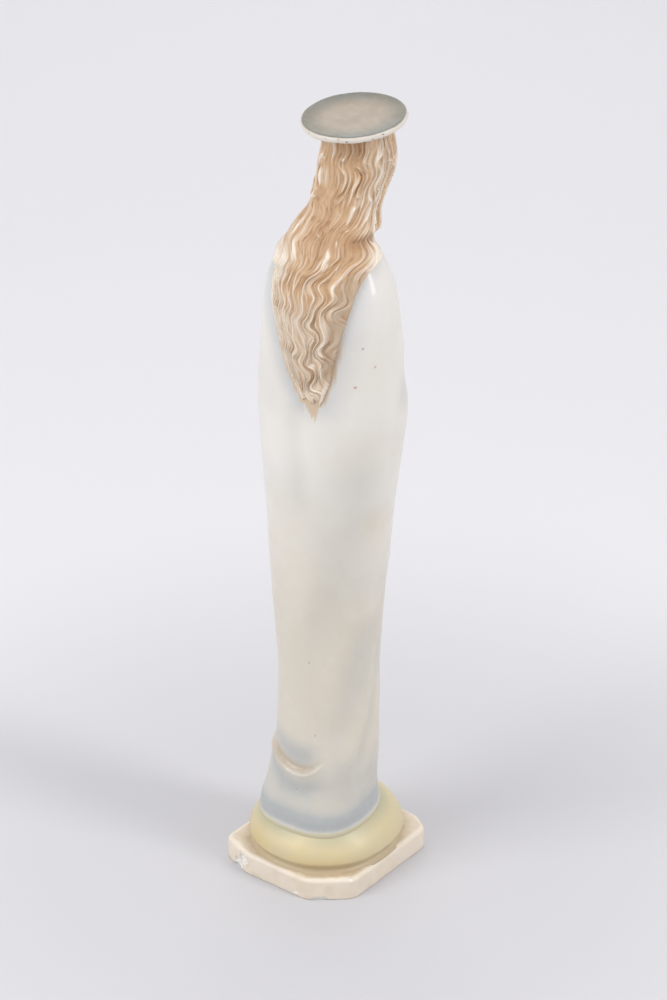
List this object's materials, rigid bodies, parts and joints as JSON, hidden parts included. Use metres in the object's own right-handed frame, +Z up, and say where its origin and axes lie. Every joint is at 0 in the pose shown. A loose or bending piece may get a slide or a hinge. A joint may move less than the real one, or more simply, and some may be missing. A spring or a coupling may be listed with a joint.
{
  "type": "madonna statue",
  "caption": "Slender standing madonna figurine with long loose hair and a flat round halo, on a domed mound and an eight-sided plinth.",
  "frame": {"origin": "centre of the plinth's underside", "axes": "+Z up; the figure faces -Y, its back is +Y and its own right-hand side is -X"},
  "size_m": [0.057, 0.0652, 0.2948],
  "materials": {
    "plinth_cream": "satin, cream with brown airbrushing",
    "mound_yellow": "satin, airbrushed straw yellow",
    "robe_white": "satin, warm white with blue-grey shading in the folds",
    "gown_white": "satin, warm white",
    "skin": "satin, pale flesh tint",
    "hair_brown": "satin, light brown with cream ridges",
    "halo_cream": "satin, cream with a grey-green edge",
    "peg_white": "unpainted"
  },
  "bodies": {
    "root": {"plinth": "plinth_cream", "mound": "mound_yellow", "mantle": "robe_white", "gown": "gown_white", "head": "skin", "hair_fall": "hair_brown", "halo": "halo_cream", "halo_peg": "peg_white", "left_foot": "skin", "right_foot": "skin", "left_sleeve": "gown_white", "right_sleeve": "gown_white", "left_hand": "skin", "right_hand": "skin"}
  },
  "joints": []
}
